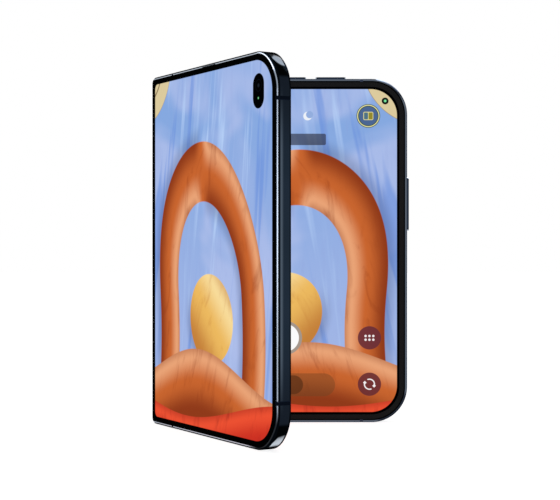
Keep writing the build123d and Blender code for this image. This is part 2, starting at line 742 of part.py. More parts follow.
def earpiece():
    half = EARPIECE_LEN / 2
    return bar(MIDDLE_U - half - WALL_T, MIDDLE_U + half + WALL_T, INSIDE_Y + BOARD_T + FIT,
               BACK_Y - FIT, BAY_TOP - FIT - EARPIECE_H, BAY_TOP - FIT)


def cover_screen():
    """The display on the back of the cover glass, with the hole for the cover camera."""
    hole = slab(pill(PILL_U0, PILL_U1, PILL_Z0, PILL_Z1), 0, HALF_T)
    return back_pane(BACK_Y, BACK_Y + COVER_PANEL_T) - hole


# ---------------------------------------------------------------- nodes
def main_nodes():
    frame, bands = main_frame()
    return {
        "main_frame": frame,
        "main_antenna_breaks": bands,
        "rear_cover": back_pane(BACK_Y, HALF_T),
        "camera_plateau": camera_plateau(),
        "camera_rings": lens_rings(),
        "camera_windows": lens_windows(),
        "flash_window": flash_window(),
        "rear_camera": rear_camera(),
        "main_display": inner_panel() - disc(HOLE_U, HOLE_Z, 0, HALF_T, HOLE_R + FIT),
        "main_display_trim": trim_ring(AXIS_U + ROLL_GAP),
        "main_midplate": main_midplate(),
        "front_camera": front_camera(),
        "main_battery": battery(BACK_Y - COIL_T - 2 * FIT),
        "main_board": main_board(),
        "board_shields": main_shields(),
        "charging_coil": charging_coil(),
        "charging_port": charging_port(),
        "loudspeaker": loudspeaker(),
        "haptic_motor": haptic_motor(),
        "main_magnets": magnets(),
        "key_switches": switches(),
        "power_button": key(POWER_Z0, POWER_Z1, POWER_PROUD),
        "volume_down_button": to_top_edge(key(0, VOLUME_LEN, VOLUME_PROUD), VOLUME_U[0]),
        "volume_up_button": to_top_edge(key(0, VOLUME_LEN, VOLUME_PROUD), VOLUME_U[1]),
        "main_hinge_arms": hinge_arms(0),
        "main_hinge_shafts": hinge_shafts(),
        "main_wing_plate": wing_plate(),
    }


def spine_nodes():
    half_tooth = 180.0 / TEETH
    return {
        "spine_cover": spine_channel(),
        "spine_end_plugs": spine_plugs(),
        "spine_plate": spine_plate(),
        "hinge_housings": group([hinge_housing(mid) for mid in MODULES]),
        "friction_springs": group([friction_spring(mid) for mid in MODULES]),
        "main_idler_gears": idlers(1, FOLD_DEG + half_tooth),
        "cover_idler_gears": idlers(-1, -FOLD_DEG),
        "fold_display": fold_strip(),
    }


def cover_nodes():
    frame, bands = cover_frame()
    return {
        "cover_frame": frame,
        "cover_antenna_breaks": bands,
        "cover_glass": back_pane(BACK_Y + COVER_PANEL_T, HALF_T),
        "cover_screen": cover_screen(),
        "cover_camera": cover_camera(),
        "cover_inner_display": inner_panel(),
        "cover_display_trim": trim_ring(AXIS_U + ROLL_GAP),
        "cover_midplate": midplate(),
        "cover_battery": battery(BACK_Y - FIT),
        "cover_board": cover_board(),
        "earpiece": earpiece(),
        "cover_magnets": magnets(),
        "cover_hinge_arms": hinge_arms(180.0 / TEETH),
        "cover_hinge_shafts": hinge_shafts(),
        "cover_wing_plate": wing_plate(),
    }


def main():
    os.makedirs("parts", exist_ok=True)
    for nodes, place in ((main_nodes(), place_main), (spine_nodes(), place_spine), (cover_nodes(), place_cover)):
        for name, shape in nodes.items():
            export_step(group([place(solid) for solid in shape.solids()]), f"parts/{name}.step")


main()
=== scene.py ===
import json
import math
import bmesh
import bpy
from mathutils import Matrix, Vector

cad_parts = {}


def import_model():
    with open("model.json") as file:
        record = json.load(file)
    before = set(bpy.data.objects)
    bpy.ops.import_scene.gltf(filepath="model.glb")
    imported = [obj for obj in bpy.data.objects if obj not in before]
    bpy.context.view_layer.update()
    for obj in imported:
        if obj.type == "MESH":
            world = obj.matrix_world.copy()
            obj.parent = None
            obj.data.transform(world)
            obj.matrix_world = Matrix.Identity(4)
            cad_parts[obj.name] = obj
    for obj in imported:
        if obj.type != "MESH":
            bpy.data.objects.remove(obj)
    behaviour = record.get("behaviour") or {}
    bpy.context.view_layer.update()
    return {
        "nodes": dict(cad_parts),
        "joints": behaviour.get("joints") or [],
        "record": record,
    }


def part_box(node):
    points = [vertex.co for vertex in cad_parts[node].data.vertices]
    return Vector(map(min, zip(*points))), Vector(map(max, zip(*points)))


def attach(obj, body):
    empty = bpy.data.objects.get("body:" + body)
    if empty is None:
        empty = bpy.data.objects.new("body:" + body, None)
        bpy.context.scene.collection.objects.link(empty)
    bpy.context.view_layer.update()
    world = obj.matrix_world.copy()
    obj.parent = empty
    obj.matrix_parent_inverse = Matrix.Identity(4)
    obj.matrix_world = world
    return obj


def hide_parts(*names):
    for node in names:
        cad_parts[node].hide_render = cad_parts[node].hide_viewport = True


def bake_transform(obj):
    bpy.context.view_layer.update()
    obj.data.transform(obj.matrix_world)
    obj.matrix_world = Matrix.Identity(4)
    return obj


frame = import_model()

# ---- sizes, in millimetres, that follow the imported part
MM = 0.001
AXIS_U, AXIS_Y = 2.5, 2.3                   # fold axis in a half's own frame
HALF_W, HEIGHT, HALF_T = 85.4, 120.0, 5.2
MIDDLE_Z = HEIGHT / 2
EDGE_CUT = 0.5                              # chamfer of the frames
CORNER_R = 12.5                             # outline at the free corners
BREAK_HIGH, BREAK_HALF = 44.72, 0.45        # free side's antenna breaks, from mid height
PANEL_Y, PANEL_T = 0.35, 0.4                # inner display
STRIP_U = 9.0                               # where its bending strip ends
STRIP_LOW = 2.4                             # from the edges to the strip's ends
PICTURE_INSET, PICTURE_R = 3.6, 9.2         # inner picture, from the outline, and its corners
COVER_INSET = 2.68                          # cover picture, from the upper and lower edges,
COVER_SIDE, COVER_NEAR = 2.65, 2.9          # from the free side and from the fold
COVER_R, COVER_NEAR_R = 10.0, 1.8           # its corners at those two sides
BLACK_EDGE = (0.12, 0.04)                   # where the cover glass turns black, before the back
HOLE_U, HOLE_Z, HOLE_R = 77.7, 112.3, 1.17  # front camera
PILL_U, PILL_Z0, PILL_Z1, PILL_R = 74.65, 102.65, 113.25, 3.35
COVER_LENS_Z, COVER_GLINT_Z = 109.6, 105.8
PLATEAU_Z, RING_U, FLASH_U = 104.5, (72.8, 57.4), 48.6
WINDOW_Y = 7.25                             # outer face of the rear lens windows
DOME_R, DOME_RISE, DOME_SINK = 2.6, 0.12, 0.01
PORT_U, TONGUE_T = 42.7, 0.7
SOUND_MID, SOUND_LEN, SOUND_W = 13.5, 11.0, 1.2
EARPIECE_LEN, EARPIECE_SLOT, EARPIECE_Z = 9.0, 0.5, 119.15

# ---- sizes of the rounded edges that modifiers give to nodes
ROUNDED = (("main_frame", 0.12), ("cover_frame", 0.12), ("power_button", 0.3), ("volume_up_button", 0.3),
           ("volume_down_button", 0.3), ("camera_plateau", 0.2), ("camera_rings", 0.15),
           ("main_display_trim", 0.06), ("cover_display_trim", 0.06), ("rear_cover", 0.08),
           ("cover_glass", 0.08))
WELD = 0.002
SHARP_DEG = 25

# ---- picture: middle of each arch, height of its spring and its radius, then the disc of sand
ARCHES, ARCH_HALF = ((45.0, 46.0, 28.5), (-47.0, 52.0, 24.0)), 7.0
BALL_R, BALL_SIDE, BALL_DROP = 14.5, 1.0, 8.0
SAND_X, SAND_Z, SAND_R = 92.0, 126.0, 22.5
CLAY, AMBER, RED = (("eba679", "c8652f", "8f3a1a"), ("f9dd9c", "ecb95f", "c4803a"),
                    ("ee5233", "cc3122", "8a1d18"))     # bright, middle and dark tones

# ---- middles of the controls on the main half's picture
RING_BUTTON, MOON, NOTICE = (71.8, 107.05), (50.6, 107.0), (46.0, 98.85)
MODES, MODE, SHUTTER = (42.7, 13.1), (38.0, 13.1), (42.7, 29.5)
GRID, CYCLE = (72.2, 29.5), (72.2, 13.3)

# ---- studio, in metres, apart from the camera's place
CAMERA_MM, CAMERA_LENS, CAMERA_SENSOR, CAMERA_START = (-1.756, -467.3, 60.2), 85.55, 36, 0.01
LIGHT_LEVEL, FLOOR_TONE, FLOOR_HALF = 0.4, 0.8, 3.0
SOFTBOXES = (("left_box", (-0.66, -1.18, -0.2), (0, 0, 0.06), (0.3, 0.8), 3.4),
             ("high_box", (-0.6, 0.15, 1.06), (-0.6, 0.15, 0), (0.6, 1.9), 4),
             ("top_box", (0.62, 0.63, 1.06), (0.62, 0.63, 0), (0.84, 0.98), 12))


# ---------------------------------------------------------------- the two halves and the spine
class Side:
    """A half's or the spine's own flat frame, placed in the row frame."""

    def __init__(self, pivot, pivot_u, degrees, mirrored):
        turn = math.radians(degrees)
        way = -1 if mirrored else 1
        self.along = Vector((way * math.cos(turn), way * math.sin(turn), 0))
        self.deep = Vector((-math.sin(turn), math.cos(turn), 0))
        self.origin = Vector((pivot[0], pivot[1], 0)) - (self.along * pivot_u + self.deep * AXIS_Y) * MM

    def at(self, u, y, z):
        return self.origin + (self.along * u + self.deep * y + Vector((0, 0, z))) * MM


def joint(name):
    return next(j for j in frame["joints"] if j["name"] == name)


FOLD = -joint("spine_fold")["range_deg"][0]
PIVOT_A, PIVOT_B = joint("spine_fold")["pos_m"], joint("cover_fold")["pos_m"]
MAIN = Side(PIVOT_A, AXIS_U, 0, False)
SPINE = Side(PIVOT_A, AXIS_U, FOLD, False)
COVER = Side(PIVOT_B, AXIS_U, 2 * FOLD, True)


# ---------------------------------------------------------------- shader arithmetic
class Field:
    """A value on a surface. Arithmetic on fields writes Math nodes."""

    def __init__(self, tree, socket):
        self.tree, self.socket = tree, socket

    def join(self, operation, *others):
        node = self.tree.nodes.new("ShaderNodeMath")
        node.operation = operation
        for slot, value in zip(node.inputs, (self,) + others):
            if isinstance(value, Field):
                self.tree.links.new(value.socket, slot)
            else:
                slot.default_value = value
        return Field(self.tree, node.outputs[0])

    def __add__(self, other):
        return self.join("ADD", other)

    def __sub__(self, other):
        return self.join("SUBTRACT", other)

    def __mul__(self, other):
        return self.join("MULTIPLY", other)

    def __truediv__(self, other):
        return self.join("DIVIDE", other)

    def size(self):
        return self.join("ABSOLUTE")

    def wave(self):
        return self.join("SINE")

    def low(self, other):
        return self.join("MINIMUM", other)

    def high(self, other):
        return self.join("MAXIMUM", other)

    def length(self, other):
        return (self * self + other * other).join("SQRT")

    def ramp(self, start, end):
        """0 at start and 1 at end, smooth between."""
        node = self.tree.nodes.new("ShaderNodeMapRange")
        node.interpolation_type = "SMOOTHSTEP"
        self.tree.links.new(self.socket, node.inputs["Value"])
        node.inputs["From Min"].default_value = start
        node.inputs["From Max"].default_value = end
        return Field(self.tree, node.outputs[0])


class Paint:
    """One material: its Principled shader, its coordinates and its colours."""

    def __init__(self, name):
        self.material = bpy.data.materials.new(name)
        self.material.use_nodes = True
        self.tree = self.material.node_tree
        self.shader = self.tree.nodes["Principled BSDF"]

    def set(self, **values):
        for name, value in values.items():
            self.shader.inputs[name.replace("_", " ")].default_value = value

    def link(self, socket, name):
        socket = socket.socket if isinstance(socket, Field) else socket
        self.tree.links.new(socket, self.shader.inputs[name])

    def object_place(self):
        return self.tree.nodes.new("ShaderNodeTexCoord").outputs["Object"]

    def along(self, place, origin, direction):
        """Distance in mm from an origin along a direction."""
        away = self.tree.nodes.new("ShaderNodeVectorMath")
        away.operation = "SUBTRACT"
        self.tree.links.new(place, away.inputs[0])
        away.inputs[1].default_value = origin
        dot = self.tree.nodes.new("ShaderNodeVectorMath")
        dot.operation = "DOT_PRODUCT"
        self.tree.links.new(away.outputs[0], dot.inputs[0])
        dot.inputs[1].default_value = [v / MM for v in direction]
        return Field(self.tree, dot.outputs["Value"])

    def half_place(self, side):
        """u, y and z in a half's own frame."""
        place = self.object_place()
        return (self.along(place, side.origin, side.along), self.along(place, side.origin, side.deep),
                self.along(place, side.origin, (0, 0, 1)))

    def vector(self, x, y, z=0.0):
        node = self.tree.nodes.new("ShaderNodeCombineXYZ")
        for slot, value in zip(node.inputs, (x, y, z)):
            if isinstance(value, Field):
                self.tree.links.new(value.socket, slot)
            else:
                slot.default_value = value
        return node.outputs[0]

    def noise(self, place, scale, detail=2.0, rough=0.5, warp=0.0):
        node = self.tree.nodes.new("ShaderNodeTexNoise")
        self.tree.links.new(place, node.inputs["Vector"])
        node.inputs["Scale"].default_value = scale
        node.inputs["Detail"].default_value = detail
        node.inputs["Roughness"].default_value = rough
        node.inputs["Distortion"].default_value = warp
        return Field(self.tree, node.outputs[0])

    def mix(self, share, one, two):
        """A colour between two, each a socket or a plain colour."""
        node = self.tree.nodes.new("ShaderNodeMix")
        node.data_type = "RGBA"
        self.tree.links.new(share.socket, node.inputs[0])
        for slot, value in ((node.inputs[6], one), (node.inputs[7], two)):
            if isinstance(value, bpy.types.NodeSocket):
                self.tree.links.new(value, slot)
            else:
                slot.default_value = value
        return node.outputs[2]

    def bump(self, height, distance, strength=1.0):
        node = self.tree.nodes.new("ShaderNodeBump")
        node.inputs["Strength"].default_value = strength
        node.inputs["Distance"].default_value = distance * MM
        self.tree.links.new(height.socket, node.inputs["Height"])
        self.tree.links.new(node.outputs[0], self.shader.inputs["Normal"])

    def grazing(self, start, end):
        """0 seen straight on and 1 seen along the surface."""
        node = self.tree.nodes.new("ShaderNodeLayerWeight")
        return Field(self.tree, node.outputs["Facing"]).ramp(start, end)


def rgb(code):
    """A linear colour from a screen colour such as 8fadde."""
    parts = [int(code[i:i + 2], 16) / 255 for i in (0, 2, 4)]
    return tuple(p / 12.92 if p <= 0.04045 else ((p + 0.055) / 1.055) ** 2.4 for p in parts) + (1.0,)


# ---------------------------------------------------------------- picture on the displays
def round_box(u, z, mid_u, mid_z, half_u, half_z, radius):
    """Distance outside a rectangle with round corners, in mm."""
    du = (u - mid_u).size() - (half_u - radius)
    dz = (z - mid_z).size() - (half_z - radius)
    return du.high(0.0).length(dz.high(0.0)) + du.high(dz).low(0.0) - radius


def inside(distance, blur=0.06):
    return distance.ramp(blur, -blur)


def shaded(paint, across, tones):
    """Colour of a rounded form: across runs from -1 to 1 between its edges."""
    bright, middle, dark = (rgb(code) for code in tones)
    tone = paint.mix(across.ramp(-0.8, 0.05), bright, middle)
    tone = paint.mix(across.ramp(0.0, 1.0), tone, dark)
    return paint.mix(across.ramp(-0.65, -1.1) * 0.5, tone, dark)


def form(paint, base, across, edge, tones, silk):
    """Lays a rounded form with silky streaks over a picture, with a soft shadow on one side."""
    tone = paint.mix(silk * 0.5, shaded(paint, across, tones), rgb(tones[2]))
    shade = across.ramp(0.0, 1.0) * edge.ramp(4.5, 0.0) * 0.35
    return paint.mix(inside(edge, 0.14), paint.mix(shade, base, rgb("353c68")), tone)


def arch(paint, base, x, z, middle, spring, radius, half, tones, silk):
    """A tall rounded arch that stands on the lower edge."""
    away = (x - middle).length((z - spring).high(0.0) * 0.72)
    across = (away - radius) / half * (x - middle).ramp(-6.0, 6.0).join("MULTIPLY_ADD", 2.0, -1.0)
    return form(paint, base, across, (away - radius).size() - half, tones, silk)


def ball(paint, base, x, z, middle, height, radius, tones, silk):
    away = (x - middle).length(z - height)
    across = (x - middle) * (0.75 / radius) - (z - height) * (0.75 / radius)
    return form(paint, base, across, away - radius, tones, silk)


def dune(paint, base, z, crest, deep, tones, silk):
    """A low rounded hill along the bottom, lit along its crest."""
    depth = crest - z
    return form(paint, base, (depth / deep * 2.0 - 1.0).low(1.2), depth * -1.0, tones, silk)


def wallpaper(paint, x, z):
    """Clay arches, amber balls and red hills before a pale blue sky, x and z in millimetres."""
    streak = paint.noise(paint.vector(x * 0.11 + z * 0.015, z * 0.008), 1.0, 3.0, 0.6, 0.5)
    cloud = paint.noise(paint.vector(x * 0.022, z * 0.02, 3.0), 1.4, 2.0, 0.5, 0.8)
    fine = paint.noise(paint.vector(x * 0.5, z * 0.06, 7.0), 1.0, 4.0, 0.6)
    sky = paint.mix(z.ramp(10.0, 120.0), rgb("a2b6e6"), rgb("84a8e0"))
    sky = paint.mix(cloud.ramp(0.42, 0.66) * 0.7, sky, rgb("b4c2ec"))
    sky = paint.mix(streak.ramp(0.54, 0.66) * 0.75, sky, rgb("bcd6fb"))
    sky = paint.mix(streak.ramp(0.46, 0.36) * 0.7, sky, rgb("6c92dc"))
    sky = paint.mix(fine.ramp(0.5, 0.75) * 0.25, sky, rgb("8f9fd8"))
    silk = paint.noise(paint.vector(x * 0.16 + z * 0.05, z * 0.045 - x * 0.03, 5.0), 1.0, 5.0, 0.6, 1.2)
    silk = silk.ramp(0.5, 0.78)
    # a disc of sand with fine rings, in the upper corner
    away = (x - SAND_X).length(z - SAND_Z)
    rings = (away * 0.9).wave().ramp(0.9, 1.0)
    sand = paint.mix(rings * 0.8, paint.mix(silk * 0.6, rgb("dccb9e"), rgb("bda97c")), rgb("6d5238"))
    view = paint.mix(inside(away - SAND_R, 0.14), sky, sand)
    sway = (z * 0.05).wave() * 3.0 + x
    for middle, spring, radius in ARCHES:
        view = arch(paint, view, sway, z, middle, spring, radius, ARCH_HALF, CLAY, silk)
        view = ball(paint, view, sway, z, middle - BALL_SIDE, spring - BALL_DROP, BALL_R, AMBER, silk)
    crest = (x * 0.055 - 1.2).wave() * 7.0 + 21.0
    view = dune(paint, view, z, crest, 20.0, CLAY, silk)
    front = (x * 0.048 + 1.9).wave() * 4.5 + 10.0
    return dune(paint, view, z, front, 18.0, RED, silk)


def lit(paint, picture):
    """Sends a picture to a display that shines by itself, under clear glass."""
    paint.set(Base_Color=(0, 0, 0, 1), Roughness=0.08, IOR=1.01, Emission_Strength=1.0)
    paint.link(picture, "Emission Color")
    return paint.material


def buttons(paint, base, u, z):
    """Plain round controls of a camera screen, on the main half."""
    def lay(mask, tone, share=1.0):
        nonlocal base
        base = paint.mix(mask * share, base, rgb(tone))

    def dot(tone, spot, radius, share=1.0):
        lay(inside((u - spot[0]).length(z - spot[1]) - radius), tone, share)

    def bar(tone, spot, half_u, half_z, radius, share=1.0):
        lay(inside(round_box(u, z, *spot, half_u, half_z, radius)), tone, share)

    def beside(spot, du, dz):
        return spot[0] + du, spot[1] + dz

    # round button with a thin yellow ring and a small split square
    dot("4c5a34", RING_BUTTON, 4.15, 0.9)
    for tone, radius in (("e8e4a6", 3.88), ("3f5436", 3.58), ("4b6693", 3.3)):
        dot(tone, RING_BUTTON, radius)
    bar("dcd795", RING_BUTTON, 1.75, 1.45, 0.5)
    bar("4f7386", beside(RING_BUTTON, -0.8, 0), 0.7, 1.2, 0.3)
    bar("948a2e", beside(RING_BUTTON, 0.82, 0), 0.7, 1.2, 0.3)
    # small crescent
    dot("eef2f8", MOON, 1.5)
    dot("93aede", beside(MOON, 0.7, 0.5), 1.25)
    # bare notice pill and mode pill
    bar("332f38", NOTICE, 11.0, 2.0, 0.6, 0.78)
    bar("6e4424", MODES, 17.5, 4.0, 4.0, 0.5)
    bar("583018", MODE, 11.0, 3.3, 3.3, 0.75)
    # shutter
    dot("a4968a", SHUTTER, 5.95)
    dot("fbfbfb", SHUTTER, 4.85)
    # six dots
    dot("6b3038", GRID, 4.06, 0.95)
    for column in (-1, 0, 1):
        for row in (-1, 1):
            dot("f4eeee", beside(GRID, 1.35 * column, 0.65 * row), 0.42)
    # two arrows in a ring
    dot("6b2f33", CYCLE, 4.06, 0.95)
    du, dz = u - CYCLE[0], z - CYCLE[1]
    ring, gap = (du.length(dz) - 1.75).size() - 0.2, (du + dz * 0.9).size() - 0.75
    lay(inside(ring.high(gap * -1.0)), "f6f2f2")
    for way in (-1, 1):
        tip_u, tip_z = beside(CYCLE, way * 1.62, way * -0.55)
        lay(inside((u - tip_u).size() + (z - tip_z).size() - 0.62), "f6f2f2")
    return base


def inner_display(name, way, side):
    """The inner picture, which runs over both halves: way is 1 on the main half and -1 on the cover half."""
    paint = Paint(name)
    u, _, z = paint.half_place(side)
    return finish_inner(paint, u * float(way), u, z, way > 0)


def finish_inner(paint, wide_u, u, z, controls):
    """The picture with its black border. wide_u runs over both halves and u starts at the fold."""
    picture = wallpaper(paint, wide_u, z)
    if controls:
        picture = buttons(paint, picture, u, z)
    edge = round_box(u, z, 0.0, MIDDLE_Z, HALF_W - PICTURE_INSET, MIDDLE_Z - PICTURE_INSET, PICTURE_R)
    border = inside(edge)
    if controls:
        border = border * (inside((u - HOLE_U).length(z - HOLE_Z) - HOLE_R) - 1.0).size()
    return lit(paint, paint.mix(border, rgb("000001"), picture))


def strip_display():
    """The same picture on the bending strip, whose flat place is in its UV map."""
    paint = Paint("fold_picture")
    place = paint.tree.nodes.new("ShaderNodeUVMap")
    place.uv_map = "flat"
    parts = paint.tree.nodes.new("ShaderNodeSeparateXYZ")
    paint.tree.links.new(place.outputs[0], parts.inputs[0])
    u = Field(paint.tree, parts.outputs[0]) * 1000.0 - 500.0
    z = Field(paint.tree, parts.outputs[1]) * 1000.0
    return finish_inner(paint, u, u.size(), z, False)


def cover_display():
    paint = Paint("cover_picture")
    u, y, z = paint.half_place(COVER)
    picture = wallpaper(paint, u * -1.0 + HALF_W, z)
    mid = (COVER_NEAR + HALF_W - COVER_SIDE) / 2
    half_u, half_z = (HALF_W - COVER_SIDE - COVER_NEAR) / 2, MIDDLE_Z - COVER_INSET
    # two boxes that overlap, because the corners differ between the sides
    more = 20
    wide = round_box(u, z, mid - more, MIDDLE_Z, half_u + more, half_z, COVER_R)
    near = round_box(u, z, mid + more, MIDDLE_Z, half_u + more, half_z, COVER_NEAR_R)
    picture = paint.mix(inside(wide.high(near)), rgb("010101"), picture)
    middle = (PILL_Z0 + PILL_Z1) / 2
    pill = round_box(u, z, PILL_U, middle, PILL_R, (PILL_Z1 - PILL_Z0) / 2, PILL_R)
    picture = paint.mix(inside(pill), picture, rgb("010102"))
    lens = (u - PILL_U).length(z - COVER_LENS_Z)
    picture = paint.mix(inside((lens - 1.75).size() - 0.1) * 0.5, picture, rgb("131b23"))
    picture = paint.mix(inside(lens - 0.55, 0.3) * 0.8, picture, rgb("1f262e"))
    # painted glint: a green dot with a pale middle in the pill, glowing with the picture
    light = (u - PILL_U + 0.1).length(z - COVER_GLINT_Z) - 0.38
    picture = paint.mix(inside(light, 0.15), picture, rgb("3f9f55"))
    picture = paint.mix(inside(light + 0.18, 0.14), picture, rgb("a4e8b4"))
    face = y.ramp(HALF_T - BLACK_EDGE[0], HALF_T - BLACK_EDGE[1])
    return lit(paint, paint.mix(face, rgb("010101"), picture))


# ---------------------------------------------------------------- other materials
def from_outline(u, z):
    """Distance in mm from a half's outline towards its middle."""
    return round_box(u, z, 0.0, MIDDLE_Z, HALF_W, MIDDLE_Z, CORNER_R) * -1.0


def frame_metal(name, side):
    """Anodised rails: dark satin sides, slightly crowned, between chamfers, with painted highlights, painted
    sheen, painted shade and painted dark reflections.
    """
    paint = Paint(name)
    u, y, z = paint.half_place(side)
    outer = y * -1.0 + HALF_T                  # depth from the outer face
    depth = from_outline(u, z)
    high = (z - MIDDLE_Z).size()
    corner_z = (high - (MIDDLE_Z - CORNER_R)) / CORNER_R
    corner_u = (u - (HALF_W - CORNER_R)) / CORNER_R
    bend = corner_z.high(0.0) * u.ramp(HALF_W / 2, HALF_W - CORNER_R)
    straight = high.ramp(56.0, 59.0) * u.ramp(75.5, 72.0)
    # a painted highlight line on the chamfer: it lies nearer the face round the corners, and on it along the
    # short edges
    line = outer - (depth - EDGE_CUT).high(0.0) + high.ramp(48.0, 57.0) * 0.33 + straight * 0.19
    bright = line.ramp(0.52, 0.46) * line.ramp(0.17, 0.24) * outer.ramp(EDGE_CUT, EDGE_CUT - 0.04)
    # painted shade: the highlight line dims near the lower free corner
    bright = bright * (z.ramp(15.0, 8.5) * u.ramp(67.0, 74.0) * -0.94 + 1.0)
    # painted highlight: a wedge across the sides round the corners
    highlight_wedge = (bend - outer.ramp(2.2, 1.0) * 0.12 + (outer - 2.0) * 0.022 - 0.6).ramp(0.0, 0.05)
    front = y.ramp(EDGE_CUT + 0.02, EDGE_CUT - 0.06)
    body = front * -1.0 + 1.0
    # painted sheen: a lighter band along the sides near the outer face, fading towards the ends
    sheen = outer.ramp(2.5, 1.6) * outer.ramp(1.2, 1.4) * high.ramp(50.0, 26.0)
    grain = paint.noise(paint.vector(u * 0.15, y * 6.0, z * 0.15), 1.0, 3.0)
    mottled = paint.noise(paint.vector(u, y, z), 0.05, 2.0)
    paint.link(grain * 0.06 + mottled * 0.05 + bend.ramp(0.1, 0.3) * -0.08 + 0.15, "Roughness")
    # the sides, from their middle towards the ends and the edges
    tone = paint.mix(mottled.ramp(0.3, 0.7), rgb("1c2733"), rgb("202b38"))
    # painted shade: the sides darker towards the ends
    tone = paint.mix(high.ramp(24.0, 50.0) * 0.8, tone, rgb("12171f"))
    # painted sheen
    tone = paint.mix(sheen, tone, rgb("495562"))
    # painted shade: black round the corners, outside the highlight wedge
    tone = paint.mix(bend.ramp(0.26, 0.36), tone, rgb("020304"))
    # painted highlight wedge, lighter than the shade round it
    tone = paint.mix(highlight_wedge, tone, rgb("303439"))
    # painted highlight: near white in the wedge at the lower corners, seen at a slant
    tone = paint.mix(highlight_wedge * z.ramp(40.0, 20.0) * paint.grazing(0.3, 0.62), tone, rgb("d4dee8"))
    tone = paint.mix(outer.ramp(1.25, 1.1), tone, rgb("04070b"))
    # painted shade: a dark edge along the side beside the inner chamfer
    tone = paint.mix((y - bend * 0.5).ramp(0.82, 0.7), tone, rgb("04060a"))
    # the painted highlight line on the chamfer
    highlight_tone = paint.mix(straight, rgb("e6ecf4"), rgb("b9c2ce"))
    highlight_tone = paint.mix((depth - EDGE_CUT).ramp(-0.04, 0.04), rgb("8e99a8"), highlight_tone)
    tone = paint.mix(bright, tone, highlight_tone)
    if side is COVER:                          # its antenna breaks reach a little further
        near = (high - BREAK_HIGH).size().ramp(BREAK_HALF + 0.05, BREAK_HALF - 0.05)
        tone = paint.mix(near * depth.ramp(3.0, 2.0), tone, rgb("101724"))
    # the lip beside the inner display, darker round the corners
    light = paint.mix(depth.ramp(0.3, 0.5), rgb("4c5562"), rgb("5a636f"))
    corner = corner_z.high(0.0) * corner_u.high(0.0)
    corner = (corner + z.ramp(60.0, 20.0) * 0.2).ramp(0.3, 0.46)
    lip = paint.mix(corner * 0.9, light, rgb("181d29"))
    tone = paint.mix(front * depth.ramp(0.78, 0.7), tone, lip)
    # painted dark reflection: edges seen along their surface are painted dark, and not metallic there
    cut = outer.ramp(0.6, EDGE_CUT)
    dark = (front * paint.grazing(0.5, 0.68)).high(body * (cut * -1.0 + 1.0) * paint.grazing(0.62, 0.76))
    dark = dark.high(cut * (bright * -1.0 + 1.0) * paint.grazing(0.45, 0.6))
    paint.link(paint.mix(dark, tone, rgb("06080c")), "Base Color")
    paint.link(dark * -1.0 + 1.0, "Metallic")
    paint.set(Specular_IOR_Level=0.0, Specular_Tint=(0.5, 0.5, 0.5, 1))
    across = (y - HALF_T / 2).high(-2.1).low(2.1)
    paint.bump(across * across * -0.03, 1.0)
    return paint.material


def inner_plate(name, side):
    """The plate under a display: painted shade, black along its edge, where the gap beside the trim shows
    it.
    """
    paint = Paint(name)
    u, y, z = paint.half_place(side)
    bare = from_outline(u, z).ramp(2.0, 2.4)
    grain = paint.noise(paint.vector(u, y, z), 1.4, 3.0)
    paint.link(grain * 0.15 + 0.3, "Roughness")
    # painted shade: black along the edge, in the gap beside the trim
    paint.link(paint.mix(bare, rgb("010101"), rgb("b8babd")), "Base Color")
    paint.link(bare, "Metallic")
    paint.set(Specular_IOR_Level=0.05)
    return paint.material


def lighter(tone, share):
    return tuple(v * share for v in rgb(tone)[:3]) + (1,)


def satin_paint(name, tone, rough):
    """The paint of plain metal, with its tone kept for whoever adds to it."""
    paint = Paint(name)
    place = paint.object_place()
    grain = paint.noise(place, 1400.0, 3.0)
    mottled = paint.noise(place, 60.0, 2.0)
    paint.link(grain * 0.15 + rough, "Roughness")
    paint.tone = paint.mix(mottled.ramp(0.3, 0.7), rgb(tone), lighter(tone, 1.25))
    paint.link(paint.tone, "Base Color")
    paint.set(Metallic=1.0)
    paint.bump(grain, 0.006, 0.3)
    return paint


def satin_metal(name, tone, rough):
    """Plain machined or anodised metal with a fine grain."""
    return satin_paint(name, tone, rough).material


def key_metal(node, axis):
    """A key: navy metal with a dark joint and a painted highlight on the bevel near each end."""
    low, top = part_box(node)
    middle, half = (low[axis] + top[axis]) / 2, (top[axis] - low[axis]) / 2 / MM
    paint = satin_paint("metal_of_" + node, "1a2536", 0.2)
    origin, along = [0, 0, 0], [0, 0, 0]
    origin[axis], along[axis] = middle, 1
    end = paint.along(paint.object_place(), origin, along).size() * -1.0 + half
    tone = paint.mix(end.ramp(1.35, 1.2), paint.tone, rgb("05070b"))
    # painted highlight on the bevel near each end
    paint.link(paint.mix(end.ramp(0.9, 0.75), tone, rgb("8d98a8")), "Base Color")
    return paint.material


def moulded(name, tone, rough, shine=0.1):
    """Moulded plastic or film with a very fine texture."""
    paint = Paint(name)
    place = paint.object_place()
    grain = paint.noise(place, 3000.0, 2.0)
    mottled = paint.noise(place, 90.0, 2.0)
    paint.link(grain * 0.12 + rough, "Roughness")
    paint.link(paint.mix(mottled.ramp(0.3, 0.7), rgb(tone), lighter(tone, 1.2)), "Base Color")
    paint.set(Specular_IOR_Level=shine)
    paint.bump(grain, 0.004, 0.25)
    return paint.material


def back_glass():
    """Matt back-painted glass, deep navy with a fine sparkle."""
    paint = Paint("back_glass")
    place = paint.object_place()
    sparkle = paint.noise(place, 5200.0, 1.0)
    cloud = paint.noise(place, 22.0, 2.0)
    tone = paint.mix(cloud.ramp(0.3, 0.7), rgb("1c2937"), rgb("223143"))
    paint.link(paint.mix(sparkle.ramp(0.62, 0.8) * 0.4, tone, rgb("5d7389")), "Base Color")
    paint.link(cloud * 0.1 + 0.28, "Roughness")
    paint.set(Specular_IOR_Level=0.2, Coat_Weight=0.15, Coat_Roughness=0.2)
    return paint.material


